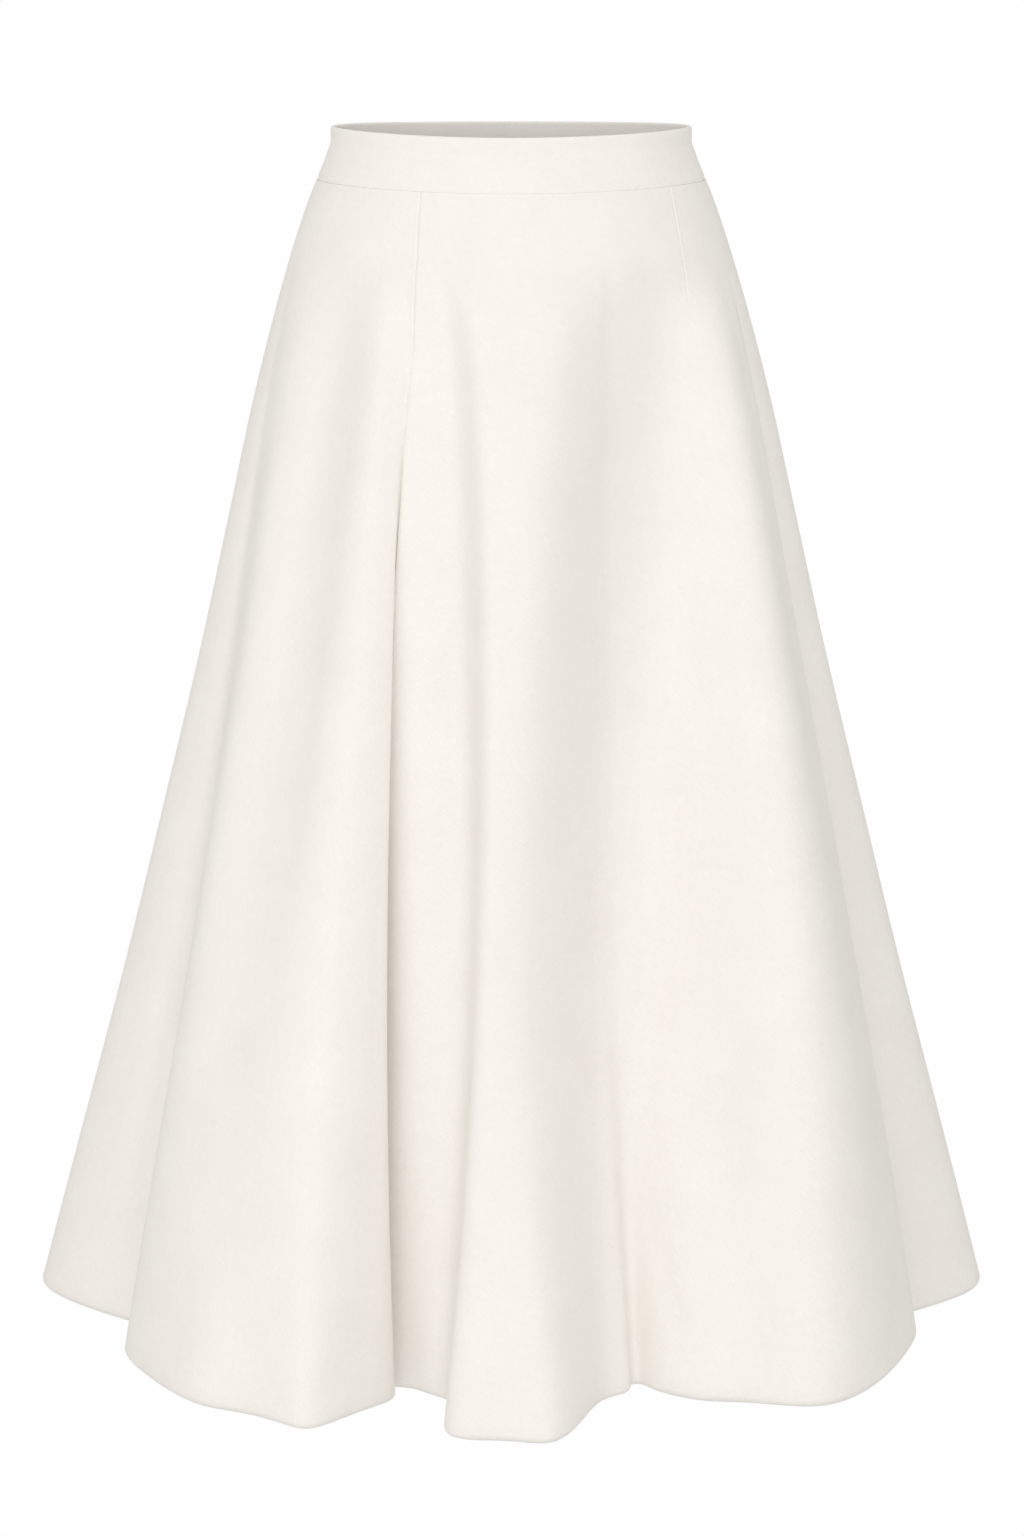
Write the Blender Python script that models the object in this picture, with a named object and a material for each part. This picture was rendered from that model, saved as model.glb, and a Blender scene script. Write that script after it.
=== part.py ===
"""Balloon skirt, worn and hollow, with nobody in it.

A full, long skirt of thick ivory crepe on a shaped two-layer waistband. It falls straight
over the hip and then stands out in deep soft flutes, and its hem is turned under in a round roll.

Frame: metres, +Z up, +X to the right for someone who faces the skirt, whose front looks along -Y.
The origin is the middle of the waist, 19 mm below the waistband's top edge at the sides.
Left and right are as seen from the front.
"""

from collections import namedtuple
from math import cos, pi, radians, sin

import bmesh
import bpy
import numpy as np

MM = 0.001

# ---------------------------------------------------------------- sizes
CLOTH = 2.0 * MM                # the panels' wall
BAND_CLOTH = 3.2 * MM           # the waistband, two layers and their turnings
SEAM_GAP = 0.3 * MM             # between two pieces that are sewn together

DEPTH_OF_WIDTH_FRONT = 0.76     # the oval of waist and hip, front depth to half width
DEPTH_OF_WIDTH_BACK = 0.80      # the seat is a little fuller

BAND_TOP = 19.0 * MM            # height of the waistband's top edge at the sides
BAND_DIP_FRONT = 3.5 * MM       # the top edge sinks this far at the front
BAND_DIP_BACK = 1.5 * MM
SEAM_SAG_FRONT = 3.9 * MM       # the waist seam hangs this far lower at the front than at the sides
SEAM_SAG_BACK = 2.0 * MM
BAND_COLUMNS = 22               # columns in half of the waistband
BAND_EDGE_POINTS = 4            # steps round its folded top edge

HEM_HEIGHT = -791.0 * MM        # the bottom of the hem's roll
HEM_RETURN = 34.0 * MM          # the turned-under cloth, up from the roll
ROLL_STEPS = 4
COLUMNS_PER_FOLD_LINE = 2

# The outline from the front: half of the width at each height.
Section = namedtuple("Section", "height half_width")
BAND_SECTIONS = (
    Section(19.0 * MM, 120.0 * MM),
    Section(7.0 * MM, 121.3 * MM),
    Section(-5.0 * MM, 125.0 * MM),
    Section(-15.9 * MM, 129.6 * MM),
)
HIP = Section(-63.0 * MM, 146.6 * MM)
PANEL_SECTIONS = (
    Section(-16.2 * MM, 129.8 * MM),
    Section(-34.0 * MM, 136.7 * MM),
    HIP,
    Section(-110.0 * MM, 160.6 * MM),
    Section(-164.0 * MM, 174.8 * MM),
    Section(-232.0 * MM, 190.3 * MM),
    Section(-335.0 * MM, 213.8 * MM),
    Section(-440.0 * MM, 239.7 * MM),
    Section(-547.0 * MM, 266.4 * MM),
    Section(-656.0 * MM, 295.3 * MM),
    Section(-730.0 * MM, 315.0 * MM),
)
HEM_HALF_WIDTH = 331.0 * MM

FOLD_START = 0.03               # share of the fall over which the folds fade in below the hip
HIGH_SWING_PEAK = 0.25 * 0.75**3
SOFTENING_ROUNDS = 12           # how far a fold line that starts late is evened out above its start

# One row for each line along which the cloth bends, all round from the left side.
#   bearing  degrees round the hip where the line starts: 0 left side, 90 front, 180 right side
#   across   where it meets the hem, to the right of the middle, in mm
#   forward  where it meets the hem, in front of the middle, in mm
#   starts   share of the fall, from hip to hem, above which this line lies soft and unfolded
#   bow      how far it bows to the right half-way down, in mm
#   bulge    how far it bulges forward half-way down, in mm
#   high_bulge   the same a quarter of the way down, where the folds begin
#   roll     outer radius of the hem's roll there, in mm
FoldLine = namedtuple("FoldLine", "name bearing across forward starts bow bulge high_bulge roll")
FOLD_LINES = (
    FoldLine("left side crest", 0, -338, -2, 0, 2, 0, 0, 6),
    FoldLine("left side crest, front", 6, -328, 27, 0, 3, 0, 0, 7),
    FoldLine("left side slope", 11, -296, 60, 0, 2, 0, 0, 7),
    FoldLine("left side valley", 15, -264, 86, 0, -3, -8, -2, 7),
    FoldLine("left side valley, front", 18, -243, 99, 0, -8, -2, -2, 6),
    FoldLine("left flute wall", 21, -255, 118, 0, -4, 8, -3, 5),
    FoldLine("left flute edge", 25, -266, 142, 0, 0, 22, -9.5, 5),
    FoldLine("left flute shoulder", 30, -248, 182, 0, -4.5, 15.5, -10.5, 7),
    FoldLine("left flute face", 36, -224, 222, 0, -3, -1, -6, 7),
    FoldLine("left flute turn", 42, -202, 246, 0, -4, -4.5, -12, 7),
    FoldLine("left flute dip", 48, -176, 253, 0, -8, 11.5, -22, 7),
    FoldLine("left flute ridge, left", 54, -150, 271, 0, -14, 6, -8, 7),
    FoldLine("left flute ridge", 58.5, -131, 289, 0, -6, -2, 7.5, 5),
    FoldLine("left flute ridge, right", 61.3, -106, 262, 0, -1, 1, 3, 6),
    FoldLine("pleat approach", 64.4, -90, 245, 0, -7, 3, 0, 6),
    FoldLine("pleat edge", 65.4, -73, 228, 0, -10.5, 6, -1.5, 4),
    FoldLine("pleat wall", 66.4, -77, 217, 0, -11.5, 0, 2.5, 4),
    FoldLine("pleat root", 67.6, -87, 208, 0, -13, -9, 8, 5),
    FoldLine("recess, left", 68.9, -78, 207, 0, -13.5, -8, 8.5, 5),
    FoldLine("recess", 70.4, -65, 209, 0, -9, 7, 0, 6),
    FoldLine("recess, right", 72.2, -54, 222, 0, 2, 6, -0.5, 6),
    FoldLine("centre flute wall", 74, -41, 229, 0, 9, 3, -4.5, 5),
    FoldLine("centre flute edge, back", 76, -39, 257, 0, 14, -2, 5, 5),
    FoldLine("centre flute edge", 78, -48, 290, 0, 18.5, -3.5, 14, 4),
    FoldLine("centre flute edge, front", 81, -28, 302, 0, 13, -6, 19.5, 5),
    FoldLine("centre flute face", 90, -3, 302, 0, -2, -10, 20.5, 7),
    FoldLine("centre flute turn, left", 98, 22, 310, 0, -13.5, -20, 27, 5),
    FoldLine("centre flute turn", 103, 37, 299, 0, -10.5, -30, 30.5, 5),
    FoldLine("centre flute slope", 107, 50, 262, 0, -7, -34, 27, 6),
    FoldLine("crease approach", 110, 60, 228, 0, -2.5, -35, 20, 5),
    FoldLine("crease edge", 111.8, 80, 219, 0.55, -4.5, -44, 19, 4),
    FoldLine("crease wall", 112.8, 78, 208, 0.55, -6, -44, 16.5, 4),
    FoldLine("crease root", 114, 84, 200, 0.55, -7, -45, 12, 5),
    FoldLine("crease, right", 115.4, 91, 213, 0.55, -2.5, -45.5, 5, 5),
    FoldLine("right flute dent", 117.8, 101, 223, 0, 4.5, -44.5, -1, 6),
    FoldLine("right flute dip", 122, 124, 238, 0, 3, -40.5, -11.5, 7),
    FoldLine("right flute face", 130, 156, 236, 0, -1.5, -12.5, -28, 7),
    FoldLine("right flute ridge", 138, 194, 247, 0, 3.5, 14, -28.5, 6),
    FoldLine("right flute shoulder", 145, 222, 235, 0, 11, 25, -20, 7),
    FoldLine("right flute slope", 151, 250, 194, 0, 13, 27, -15, 7),
    FoldLine("right flute edge", 156, 272, 136, 0, 6, 17, -13, 6),
    FoldLine("right flute wall", 160, 282, 98, 0, 8, 5, -10, 5),
    FoldLine("right side valley", 163, 258, 84, 0, 4, -5, -4.5, 6),
    FoldLine("right side slope", 167, 292, 57, 0, 0, 0, 0, 7),
    FoldLine("right side crest, front", 173, 328, 27, 0, 0, 0, 0, 7),
    FoldLine("right side crest", 180, 338, -2, 0, 0, 0, 0, 6),
    FoldLine("right side crest, back", 187, 322, -32, 0, 0, 0, 0, 7),
    FoldLine("back right valley, side", 193, 292, -64, 0, 3, 3, 0, 7),
    FoldLine("back right valley", 198, 264, -84, 0, -2, 5, 0, 7),
    FoldLine("back right flute wall", 203, 256, -108, 0, 4, -6, 3, 6),
    FoldLine("back right flute edge", 208, 270, -142, 0, 6, -13, 6, 6),
    FoldLine("back right flute face", 215, 250, -188, 0, 4, -19, 10, 7),
    FoldLine("back right flute crest", 222, 206, -230, 0, 3, -16, 12, 6),
    FoldLine("back right dip, side", 229, 168, -226, 0, 2, 3, 12, 7),
    FoldLine("back right dip", 236, 132, -214, 0, -2, 13, 4, 7),
    FoldLine("back inner right wall", 242, 114, -240, 0, -4, 10, -4, 6),
    FoldLine("back inner right crest", 249, 88, -296, 0, -6, -5, -10, 5),
    FoldLine("back inner right face", 256, 50, -292, 0, -4, -9, -8, 7),
    FoldLine("middle back valley, right", 263, 24, -262, 0, 0, 2, 1, 7),
    FoldLine("middle back valley", 270, 2, -254, 0, 0, 5, 2, 7),
    FoldLine("middle back valley, left", 276, -26, -266, 0, 0, 3, 1, 7),
    FoldLine("back inner left crest", 283, -60, -302, 0, 6, -8, -11, 6),
    FoldLine("back inner left face", 290, -98, -290, 0, 5, -6, -6, 7),
    FoldLine("back inner left wall", 296, -122, -250, 0, 4, 6, 6, 6),
    FoldLine("back left dip", 303, -144, -222, 0, 2, 13, 10, 7),
    FoldLine("back left dip, side", 309, -174, -226, 0, -2, 8, 13, 7),
    FoldLine("back left flute crest", 316, -210, -238, 0, -4, -11, 8, 6),
    FoldLine("back left flute face", 325, -244, -190, 0, -6, -20, 6, 7),
    FoldLine("back left flute edge", 333, -270, -142, 0, -6, -16, 4, 6),
    FoldLine("back left flute wall", 338.5, -260, -106, 0, -4, -8, 2, 6),
    FoldLine("back left valley", 343, -264, -84, 0, -2, 4, 0, 7),
    FoldLine("back left valley, side", 348, -292, -62, 0, 0, 2, 0, 7),
    FoldLine("left side crest, back", 354, -320, -30, 0, 0, 0, 0, 7),
)

# Where the panels are sewn together: the fold line that each seam follows.
FRONT_SEAM = "pleat root"
RIGHT_SEAM = "right side crest"
BACK_SEAM = "middle back valley"
LEFT_SEAM = "left side crest"
SEAM_LEAN = 4.3                 # degrees by which the front seam leans left from its line at the waist
SEAM_LEAN_FOOT = -120.0 * MM    # the height where it starts to lean
SEAM_LEAN_REACH = 12            # degrees to either side over which its neighbours lean with it

CREPE = {"name": "ivory_crepe", "colour": (0.87, 0.845, 0.80, 1.0), "roughness": 0.86}


# ---------------------------------------------------------------- curves
def smooth_loop(values, per_line):
    """Periodic cubic B-spline through a column of the fold table, per_line samples a row."""
    values = np.asarray(values, float)
    before, after, second = np.roll(values, 1), np.roll(values, -1), np.roll(values, -2)
    samples = np.empty((len(values), per_line))
    for step in range(per_line):
        t = step / per_line
        samples[:, step] = (
            before * (1 - t) ** 3
            + values * (3 * t**3 - 6 * t**2 + 4)
            + after * (-3 * t**3 + 3 * t**2 + 3 * t + 1)
            + second * t**3
        ) / 6
    return samples.ravel()


def column(name):
    """One column of the fold table, as an array; lengths stay in mm."""
    return np.array([getattr(line, name) for line in FOLD_LINES], float)


def bearings_of(per_line):
    """Bearings in radians, all round the skirt."""
    count = len(FOLD_LINES)
    ahead = smooth_loop(column("bearing") - 360 * np.arange(count) / count, per_line)
    return np.radians(ahead + 360 * np.arange(count * per_line) / (count * per_line))


def eased(share):
    """0 to 1 with soft ends."""
    share = np.clip(share, 0, 1)
    return share * share * (3 - 2 * share)


def softened(values):
    """A column of the fold table evened out over its neighbours."""
    for _ in range(SOFTENING_ROUNDS):
        values = (np.roll(values, 1) + 2 * values + np.roll(values, -1)) / 4
    return values


def hem_loop(share, per_line):
    """The hem's outline, across and forward, as it counts for a loop this share of the way down."""
    starts = column("starts")
    ready = np.where(starts > 0, eased((share - starts) / np.maximum(1 - starts, 0.2)), 1.0)
    loops = []
    for name in ("across", "forward"):
        table = column(name) * MM
        soft = softened(table)
        loops.append(smooth_loop(soft + (table - soft) * ready, per_line))
    return loops


def oval(bearing, half_width):
    """Across and forward on the oval of waist and hip."""
    depth = np.where(np.sin(bearing) > 0, DEPTH_OF_WIDTH_FRONT, DEPTH_OF_WIDTH_BACK)
    return -half_width * np.cos(bearing), half_width * depth * np.sin(bearing)


def leaning(bearing, height):
    """Bearings of the fold lines at a height: towards the waist they lean left along the front seam."""
    share = np.clip((height - SEAM_LEAN_FOOT) / (PANEL_SECTIONS[0].height - SEAM_LEAN_FOOT), 0, 1)
    seam = next(line.bearing for line in FOLD_LINES if line.name == FRONT_SEAM)
    near = np.exp(-(((np.degrees(bearing) - seam) / SEAM_LEAN_REACH) ** 2))
    return bearing - np.radians(SEAM_LEAN * share**1.2 * near)


def seam_sag(bearing):
    """How far the waist seam hangs below its height at the sides."""
    return np.where(np.sin(bearing) > 0, SEAM_SAG_FRONT, SEAM_SAG_BACK) * np.sin(bearing) ** 2


def inward(across, forward):
    """Unit directions into the skirt, square to a loop that runs left, front, right, back."""
    along_x = np.roll(across, -1) - np.roll(across, 1)
    along_y = np.roll(forward, -1) - np.roll(forward, 1)
    length = np.hypot(along_x, along_y)
    return along_y / length, -along_x / length


# ---------------------------------------------------------------- the panels' surface
def outer_surface(per_line):
    """Outer points of the skirt's cloth, rows from the waist seam to the end of the hem's return."""
    bearing = bearings_of(per_line)
    bow, bulge, high_bulge, roll = (
        smooth_loop(column(name) * MM, per_line) for name in ("bow", "bulge", "high_bulge", "roll")
    )
    full_across, full_forward = oval(bearing, HEM_HALF_WIDTH)
    hem_across, hem_forward = hem_loop(1.0, per_line)
    into_x, into_y = inward(hem_across, hem_forward)
    roll_centre = HEM_HEIGHT + roll

    def fallen(half_width, height):
        """The loop where the skirt is this wide, between hip and hem."""
        share = (half_width - HIP.half_width) / (HEM_HALF_WIDTH - HIP.half_width)
        grown = share * share * (1 + FOLD_START) / (share + FOLD_START)
        swing = 4 * share * (1 - share)
        high_swing = share * (1 - share) ** 3 / HIGH_SWING_PEAK
        folded_across, folded_forward = hem_loop(share, per_line)
        across, forward = oval(leaning(bearing, height), half_width)
        across = across + (folded_across - full_across) * grown + bow * swing
        forward = forward + (folded_forward - full_forward) * grown + bulge * swing
        return across, forward + high_bulge * high_swing

    rows = []
    for section in PANEL_SECTIONS:
        above_hip = (section.height - HIP.height) / (PANEL_SECTIONS[0].height - HIP.height)
        leant = leaning(bearing, section.height)
        height = section.height - seam_sag(leant) * eased(above_hip)
        if section.height >= HIP.height:
            across, forward = oval(leant, section.half_width)
        else:
            across, forward = fallen(section.half_width, section.height)
        rows.append((across, -forward, height))

    for step in range(ROLL_STEPS + 1):
        turn = pi * step / ROLL_STEPS
        reach = roll * (1 - cos(turn))
        rows.append(
            (hem_across + into_x * reach, -(hem_forward + into_y * reach), roll_centre - roll * sin(turn))
        )

    top_section = PANEL_SECTIONS[-1]
    lean = (HEM_HALF_WIDTH - top_section.half_width) / (top_section.height - HEM_HEIGHT)
    across, forward = fallen(HEM_HALF_WIDTH - lean * HEM_RETURN, HEM_HEIGHT + HEM_RETURN)
    rows.append(
        (across + into_x * 2 * roll, -(forward + into_y * 2 * roll), roll_centre + HEM_RETURN)
    )
    return np.stack([np.stack(row, axis=-1) for row in rows])


def outward_normals(points):
    """Unit normals of a grid whose columns close into a tube, pointing out of the cloth."""
    round_it = np.roll(points, -1, axis=1) - np.roll(points, 1, axis=1)
    down_it = np.gradient(points, axis=0)
    normal = np.cross(down_it, round_it)
    return normal / np.linalg.norm(normal, axis=-1, keepdims=True)


def column_of(name):
    """Grid column of a named fold line."""
    names = [line.name for line in FOLD_LINES]
    return names.index(name) * COLUMNS_PER_FOLD_LINE


# ---------------------------------------------------------------- solids
def cut_out(grid, first, last):
    """Columns first to last of a closed grid, both ends drawn back by half a seam gap."""
    columns = np.arange(first, last + 1) % grid.shape[1]
    piece = grid[:, columns].copy()
    for end, neighbour in ((0, 1), (-1, -2)):
        step = piece[:, neighbour] - piece[:, end]
        step /= np.linalg.norm(step, axis=-1, keepdims=True)
        piece[:, end] += step * SEAM_GAP / 2
    return piece


def add_piece(name, outer, inner):
    """One closed wall between an outer and an inner grid of points, rows down and columns round."""
    rows, columns = outer.shape[:2]
    mesh = bmesh.new()
    skins = [[[mesh.verts.new(point) for point in row] for row in grid] for grid in (outer, inner)]
    skin, lining = skins
    for row in range(rows - 1):
        for column in range(columns - 1):
            quad = [(row, column), (row, column + 1), (row + 1, column + 1), (row + 1, column)]
            mesh.faces.new([skin[r][c] for r, c in quad])
            mesh.faces.new([lining[r][c] for r, c in reversed(quad)])
    for row in (0, rows - 1):
        for column in range(columns - 1):
            mesh.faces.new([skin[row][column], skin[row][column + 1], lining[row][column + 1], lining[row][column]])
    for column in (0, columns - 1):
        for row in range(rows - 1):
            mesh.faces.new([skin[row][column], skin[row + 1][column], lining[row + 1][column]])
            mesh.faces.new([skin[row][column], lining[row + 1][column], lining[row][column]])
    bmesh.ops.recalc_face_normals(mesh, faces=mesh.faces)
    return finish_piece(name, mesh)


def add_swept_ring(name, section_loops):
    """A bar swept through closed section loops, one for each column, with both ends filled."""
    mesh = bmesh.new()
    loops = [[mesh.verts.new(point) for point in loop] for loop in section_loops]
    count = len(loops[0])
    for here, there in zip(loops, loops[1:]):
        for corner in range(count):
            after = (corner + 1) % count
            mesh.faces.new([here[corner], here[after], there[after], there[corner]])
    for loop in (loops[0], loops[-1]):
        mesh.faces.new(loop)
    bmesh.ops.recalc_face_normals(mesh, faces=mesh.faces)
    return finish_piece(name, mesh)


def finish_piece(name, mesh):
    """Turn the bmesh into a named object with the cloth's material."""
    data = bpy.data.meshes.new(name)
    mesh.to_mesh(data)
    mesh.free()
    data.materials.append(crepe())
    data.shade_smooth()
    data.set_sharp_from_angle(angle=radians(40))
    piece = bpy.data.objects.new(name, data)
    bpy.context.scene.collection.objects.link(piece)
    return piece


def crepe():
    """The one cloth of the skirt."""
    material = bpy.data.materials.get(CREPE["name"])
    if material is None:
        material = bpy.data.materials.new(CREPE["name"])
        material.use_nodes = True
        shader = material.node_tree.nodes["Principled BSDF"]
        shader.inputs["Base Color"].default_value = CREPE["colour"]
        shader.inputs["Roughness"].default_value = CREPE["roughness"]
        shader.inputs["Metallic"].default_value = 0.0
    return material


# ---------------------------------------------------------------- the pieces
def band_section(bearing):
    """Closed loop of points round the waistband's wall at one bearing."""
    dip = BAND_DIP_FRONT if sin(bearing) > 0 else BAND_DIP_BACK
    sunk = dip * sin(bearing) ** 2
    sag = float(seam_sag(np.array(bearing)))
    thickness = BAND_CLOTH
    top, bottom = BAND_SECTIONS[0], BAND_SECTIONS[-1]
    reach = top.height - bottom.height

    def place(half_width, height):
        """A point of the section, lowered with the dip of the top edge and the sag of the seam."""
        across, forward = oval(np.array(bearing), half_width)
        share = (height - bottom.height) / reach
        return (float(across), -float(forward), height - sunk * share - sag * (1 - share))

    outer = [(section.half_width, section.height) for section in BAND_SECTIONS]
    edge_radius = thickness / 2
    outer[0] = (top.half_width, top.height - edge_radius)
    edge = []
    for step in range(1, BAND_EDGE_POINTS):
        turn = pi * step / BAND_EDGE_POINTS
        edge.append((top.half_width - edge_radius * (1 - cos(turn)), top.height - edge_radius * (1 - sin(turn))))
    inner = [(half_width - thickness, height) for half_width, height in outer]
    loop = [*reversed(outer), *edge, *inner]
    return [place(half_width, height) for half_width, height in loop]


def make_waistband(name, start, end):
    """The stretch of the waistband between two bearings in degrees."""
    columns = max(2, round(BAND_COLUMNS * (end - start) / 180))
    half_gap = SEAM_GAP / 2 / BAND_SECTIONS[0].half_width
    bearings = np.linspace(radians(start) + half_gap, radians(end) - half_gap, columns + 1)
    return add_swept_ring(name, [band_section(float(bearing)) for bearing in bearings])


def make_panels():
    """The four panels of the skirt, each with its own turned-under hem."""
    outer = outer_surface(COLUMNS_PER_FOLD_LINE)
    inner = outer - outward_normals(outer) * CLOTH
    all_round = outer.shape[1]
    left, front, right, back = (column_of(seam) for seam in (LEFT_SEAM, FRONT_SEAM, RIGHT_SEAM, BACK_SEAM))
    spans = (
        ("front_left", left, front),
        ("front_right", front, right),
        ("back_right", right, back),
        ("back_left", back, left + all_round),
    )
    for name, first, last in spans:
        add_piece(name, cut_out(outer, first, last), cut_out(inner, first, last))


def main():
    """Clear the scene and make every piece of the skirt."""
    for leftover in list(bpy.data.objects):
        bpy.data.objects.remove(leftover, do_unlink=True)
    make_waistband("waistband_front", 0, 180)
    make_waistband("waistband_back_right", 180, 270)
    make_waistband("waistband_back_left", 270, 360)
    make_panels()


main()
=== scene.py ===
"""Balloon skirt in thick ivory crepe, worn and filled out, laid out as a Blender add-on.

Run as a script, it dresses the solid model of the skirt: the four panels with their folds, soft
creases and rolled hem, the two-layer waistband, the seams' allowances and their stitches, and a
plain studio. Everything is in metres, with +Z up and the front of the skirt looking along -Y.
Left and right are as seen from the front.
"""

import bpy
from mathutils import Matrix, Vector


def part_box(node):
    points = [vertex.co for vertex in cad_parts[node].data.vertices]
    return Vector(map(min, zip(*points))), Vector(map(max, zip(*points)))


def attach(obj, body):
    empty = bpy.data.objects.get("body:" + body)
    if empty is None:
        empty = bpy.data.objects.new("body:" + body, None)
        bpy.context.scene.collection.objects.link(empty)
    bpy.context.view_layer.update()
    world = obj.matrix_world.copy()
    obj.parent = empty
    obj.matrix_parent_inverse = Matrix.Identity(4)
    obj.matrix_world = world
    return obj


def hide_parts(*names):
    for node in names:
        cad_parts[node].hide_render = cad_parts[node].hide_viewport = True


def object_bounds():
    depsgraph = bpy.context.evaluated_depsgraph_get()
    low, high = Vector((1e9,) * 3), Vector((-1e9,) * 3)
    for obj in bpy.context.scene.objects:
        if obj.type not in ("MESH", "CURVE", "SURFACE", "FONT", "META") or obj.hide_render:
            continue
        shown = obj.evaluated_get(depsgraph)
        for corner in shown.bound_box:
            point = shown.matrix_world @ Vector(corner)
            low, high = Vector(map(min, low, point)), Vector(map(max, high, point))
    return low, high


bl_info = {
    "name": "Balloon Skirt",
    "version": (1, 0, 0),
    "blender": (4, 5, 0),
    "location": "3D View > Sidebar > Skirt",
    "description": "A worn balloon skirt in ivory crepe with deep flutes and a rolled hem",
    "category": "Object",
}

from collections import namedtuple
from math import cos, pi, radians, sin

import bpy
import numpy as np
from bpy.props import FloatProperty, FloatVectorProperty, IntProperty, PointerProperty
from mathutils import Vector

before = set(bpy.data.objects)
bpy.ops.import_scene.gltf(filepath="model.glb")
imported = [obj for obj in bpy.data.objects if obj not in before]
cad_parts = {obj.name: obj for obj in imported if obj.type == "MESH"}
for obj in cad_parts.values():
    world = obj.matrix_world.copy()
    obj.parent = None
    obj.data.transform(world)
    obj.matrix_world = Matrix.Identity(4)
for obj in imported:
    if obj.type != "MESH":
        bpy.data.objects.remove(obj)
CAD_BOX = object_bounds()
BODY = "root"

MM = 0.001

# ------------------------------------------------------------------ sizes from the solids
BAND_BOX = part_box("waistband_front")
BAND_TOP = BAND_BOX[1][2]
SEAM_SAG_FRONT = 3.9 * MM       # the waist seam hangs this far lower at the front than at the sides
SEAM_SAG_BACK = 2.0 * MM
BAND_BOTTOM = BAND_BOX[0][2] + SEAM_SAG_FRONT
HEM_HEIGHT = CAD_BOX[0][2]
SEAM_GAP = 0.3 * MM
CLOSED_GAP = 0.05 * MM          # what is left of a seam's gap once it is sewn
PANEL_TOP = BAND_BOTTOM - CLOSED_GAP

DEPTH_OF_WIDTH_FRONT = 0.76
DEPTH_OF_WIDTH_BACK = 0.80
BAND_DIP_FRONT = 3.5 * MM
BAND_DIP_BACK = 1.5 * MM

# The outline from the front: half of the width at each height.
Section = namedtuple("Section", "height half_width")


def sections(*rows):
    """A table of sections from rows in mm."""
    return tuple(Section(height * MM, half_width * MM) for height, half_width in rows)


BAND_SECTIONS = sections(
    (19, 120), (13, 120.3), (7, 121.3), (1, 122.9), (-5, 125), (-10.5, 127.4), (-15.9, 129.6)
)
PANEL_SECTIONS = sections(
    (-16.2, 129.8), (-34, 136.7), (-63, 146.6), (-110, 160.6), (-164, 174.8), (-232, 190.3),
    (-335, 213.8), (-440, 239.7), (-547, 266.4), (-656, 295.3), (-730, 315), (-791, 331),
)
HIP = PANEL_SECTIONS[2]
HEM_HALF_WIDTH = PANEL_SECTIONS[-1].half_width

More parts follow.
